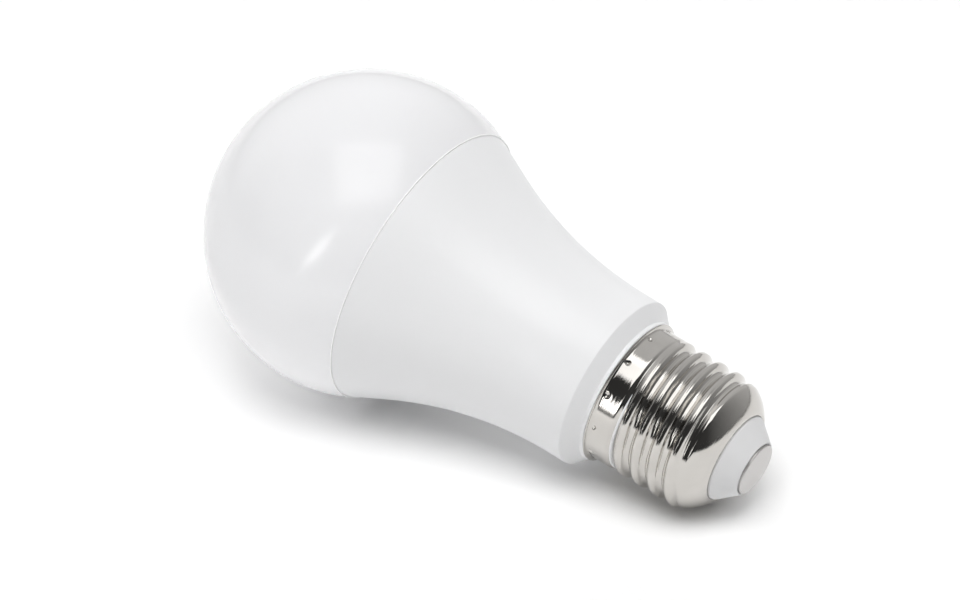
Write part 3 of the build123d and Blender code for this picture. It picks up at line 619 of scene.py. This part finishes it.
def contact_piece():
    """Pressed contact disc with a rolled edge and a driven pin."""
    pin_top = level("centre_contact", True)
    outline = rounded([
        (0, 0, 0), (2.0, 0.0, 0), (CONTACT_RADIUS, 0, 0.15), (CONTACT_RADIUS, CONTACT_THICKNESS, 0.05),
        (PIN_RADIUS, CONTACT_THICKNESS, 0.05), (PIN_RADIUS, pin_top, 0.2), (0, pin_top, 0)])
    return turned_piece("contact_disc", outline, "contact_metal", ["centre_contact"])


# ---------- studio ----------

def make_camera():
    """Long-lens camera at the photograph's viewing angle."""
    camera = bpy.data.objects.new("camera", bpy.data.cameras.new("camera"))
    bpy.context.scene.collection.objects.link(camera)
    back = Vector((sin(CAMERA_AZIMUTH) * cos(CAMERA_ELEVATION), -cos(CAMERA_AZIMUTH) * cos(CAMERA_ELEVATION),
                   sin(CAMERA_ELEVATION)))
    level_right = Vector((0, 0, 1)).cross(back).normalized()
    level_up = back.cross(level_right)
    right = level_right * cos(CAMERA_ROLL) + level_up * sin(CAMERA_ROLL)
    up = back.cross(right)
    turn = Matrix((right, up, back)).transposed().to_4x4()
    camera.matrix_world = Matrix.Translation(CAMERA_AIM + back * CAMERA_DISTANCE) @ turn
    camera.data.lens = CAMERA_LENS
    camera.data.sensor_width = 36.0
    camera.data.clip_start, camera.data.clip_end = 0.01, 50.0
    bpy.context.scene.camera = camera


def make_floor():
    """Plain white floor that a view from beneath looks through."""
    mesh = bpy.data.meshes.new("floor")
    side = FLOOR_UP.cross(Vector((0, 0, 1))).normalized()
    along = FLOOR_UP.cross(side)
    centre = -FLOOR_UP * FLOOR_DROP
    corners = [centre + (side * a + along * b) * FLOOR_HALF for a, b in ((-1, -1), (1, -1), (1, 1), (-1, 1))]
    bm = bmesh.new()
    face = bm.faces.new([bm.verts.new(c) for c in corners])
    face.normal_update()
    if face.normal.dot(FLOOR_UP) < 0:
        face.normal_flip()
    bm.to_mesh(mesh)
    bm.free()
    floor = bpy.data.objects.new("floor", mesh)
    bpy.context.scene.collection.objects.link(floor)
    material, shader = blank_material("floor_white")
    add, join = node_tools(material)
    shader.inputs["Base Color"].default_value = (0.93, 0.93, 0.93, 1)
    shader.inputs["Roughness"].default_value = 0.9
    shader.inputs["Specular IOR Level"].default_value = 0.0
    clear = add("ShaderNodeBsdfTransparent")
    side_of = add("ShaderNodeNewGeometry")
    mix = add("ShaderNodeMixShader")
    output = next(n for n in material.node_tree.nodes if n.type == "OUTPUT_MATERIAL")
    join(side_of, "Backfacing", mix, 0)
    join(shader, "BSDF", mix, 1)
    join(clear, "BSDF", mix, 2)
    join(mix, "Shader", output, "Surface")
    floor.data.materials.append(material)
    return floor


def studio_axes():
    """The studio's own directions: up from the floor, along it away from the camera, and to the right."""
    toward = bpy.context.scene.camera.matrix_world.translation - CAMERA_AIM
    ahead = -(toward - FLOOR_UP * toward.dot(FLOOR_UP)).normalized()
    return FLOOR_UP, ahead, ahead.cross(FLOOR_UP)


def studio_direction(elevation, azimuth):
    """Unit vector at so many degrees above the floor and clockwise from straight away from the camera."""
    up, ahead, right = studio_axes()
    level_part = ahead * cos(radians(azimuth)) + right * sin(radians(azimuth))
    return up * sin(radians(elevation)) + level_part * cos(radians(elevation))


def make_world():
    """Studio room that only gloss shows, dark high up behind the camera, which itself sees plain white."""
    world = bpy.data.worlds.new("studio")
    bpy.context.scene.world = world
    world.cycles_visibility.diffuse = False
    world.use_nodes = True
    add, join = node_tools(world)
    tree = world.node_tree
    output = next(n for n in tree.nodes if n.type == "OUTPUT_WORLD")
    background = next(n for n in tree.nodes if n.type == "BACKGROUND")
    place = add("ShaderNodeTexCoord")

    def along(direction):
        node = add("ShaderNodeVectorMath", operation="DOT_PRODUCT")
        node.inputs[1].default_value = direction
        join(place, "Generated", node, 0)
        return node

    def ramp(source, stops):
        node = add("ShaderNodeValToRGB")
        ramp_stops(node, stops)
        join(source, 0, node, "Fac")
        return node

    up, ahead, right = studio_axes()
    height = along(up)
    turn = add("ShaderNodeMath", operation="ARCTAN2")
    join(along(right), "Value", turn, 0)
    join(along(ahead), "Value", turn, 1)
    round_share = add("ShaderNodeMapRange")
    round_share.inputs["From Min"].default_value = -pi
    round_share.inputs["From Max"].default_value = pi
    join(turn, "Value", round_share, "Value")

    def band(levels):
        return ramp(round_share, [(0.5 + azimuth / 360, grey) for azimuth, grey in levels])

    low = band(LOW_BAND)
    middle = band(MIDDLE_BAND)
    rise = ramp(height, [(sin(LOW_BAND_TOP), 0.0), (sin(MIDDLE_BAND_BOTTOM), 1.0)])
    room = add("ShaderNodeMixRGB")
    join(rise, "Color", room, "Fac")
    join(low, "Color", room, "Color1")
    join(middle, "Color", room, "Color2")
    rays = add("ShaderNodeLightPath")
    seen = add("ShaderNodeMixRGB")
    seen.inputs["Color2"].default_value = (BACKDROP_WHITE,) * 3 + (1,)
    join(rays, "Is Camera Ray", seen, "Fac")
    join(room, "Color", seen, "Color1")
    join(seen, "Color", background, "Color")
    join(background, "Background", output, "Surface")


def fade_edges(light_data):
    """Makes a panel brightest in its middle and fade out towards its edges."""
    light_data.use_nodes = True
    add, join = node_tools(light_data)
    glow = next(n for n in light_data.node_tree.nodes if n.type == "EMISSION")
    place = add("ShaderNodeNewGeometry")
    away = add("ShaderNodeVectorMath", operation="DISTANCE")
    away.inputs[1].default_value = (0.5, 0.5, 0.0)
    fade = add("ShaderNodeMapRange", interpolation_type="SMOOTHSTEP")
    fade.inputs["From Min"].default_value = PANEL_EDGE
    fade.inputs["From Max"].default_value = PANEL_CORE
    join(place, "Parametric", away, 0)
    join(away, "Value", fade, "Value")
    join(fade, "Result", glow, "Strength")


def panel(name, elevation, azimuth, size, energy, reflected=False, distance=0.8, spin=0.0):
    """A panel of light of so many watts aimed at the bulb; gloss shows it only if it is reflected."""
    data = bpy.data.lights.new(name, "AREA")
    data.shape = "RECTANGLE"
    data.size, data.size_y = size
    data.energy = energy
    light = bpy.data.objects.new(name, data)
    bpy.context.scene.collection.objects.link(light)
    toward = studio_direction(elevation, azimuth)
    side = FLOOR_UP.cross(toward).normalized()
    turn = Matrix((side, toward.cross(side), toward)).transposed().to_4x4()
    place = Matrix.Translation(CAMERA_AIM + toward * distance)
    light.matrix_world = place @ turn @ Matrix.Rotation(spin, 4, "Z")
    light.visible_camera = False
    light.visible_glossy = reflected
    return light


def let_through(light, obstacle, only_on=None):
    """Lets a light pass through one object, and if only_on is given, light nothing but that object."""
    passed = bpy.data.collections.new(light.name + "_passes")
    passed.objects.link(obstacle)
    light.light_linking.blocker_collection = passed
    passed.collection_objects[0].light_linking.link_state = "EXCLUDE"
    if only_on:
        lit = bpy.data.collections.new(light.name + "_lights")
        lit.objects.link(only_on)
        light.light_linking.receiver_collection = lit


def make_lights(floor, globe):
    """Overhead softbox and a slim strip, which the gloss shows, and soft fills, which it doesn't.

    A panel's figures are its elevation, azimuth, size and power.
    """
    panel("softbox", 76, 178, (0.65, 0.65), 2.25, reflected=True)
    strip = panel("strip", 17, -142, (0.05, 0.24), 0.2, reflected=True, distance=0.3, spin=radians(-29))
    fade_edges(strip.data)
    panel("fill_near", 60, 180, (0.4, 0.4), 1.38)
    panel("fill_high", 70, -150, (0.5, 0.5), 1.65)
    panel("fill_right", 60, 120, (0.4, 0.4), 1.05)
    panel("fill_right_low", 25, 105, (0.5, 0.4), 0.65)
    panel("fill_left", 32, -90, (0.4, 0.4), 1.03)
    panel("fill_far", 24, 0, (1.6, 0.4), 4.8)
    # This one shines from beneath, so the floor lets it through
    let_through(panel("fill_back", -40, 0, (0.8, 0.8), 2.2), floor)

    # Stand-ins for light that a frosted globe scatters: a little on its shaded side and on the floor
    let_through(panel("scatter_under", -60, 180, (0.6, 0.6), 0.68), floor, only_on=globe)
    let_through(panel("scatter_left", -5, -100, (0.5, 0.5), 0.25), floor, only_on=globe)
    let_through(panel("scatter_top", 75, 178, (0.65, 0.65), 0.45), globe, only_on=floor)
    let_through(panel("scatter_near", 40, 180, (0.6, 0.6), 0.1), globe, only_on=floor)


# ---------- the scene ----------

make_camera()
make_world()
bpy.context.scene.view_settings.view_transform = "Standard"
bpy.context.scene.view_settings.look = "None"

materials = make_materials()
pieces = [globe_piece(), bead_piece(), housing_piece(), screw_piece(), insulator_piece(), contact_piece()]
for piece in pieces:
    dress(piece, materials[piece["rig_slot"]])

make_lights(make_floor(), pieces[0])

slot_of = {row["node"]: row["material_slot"] for row in frame["record"]["subparts"]}
for name, node in frame["nodes"].items():
    dress(node, materials[slot_of[name]])
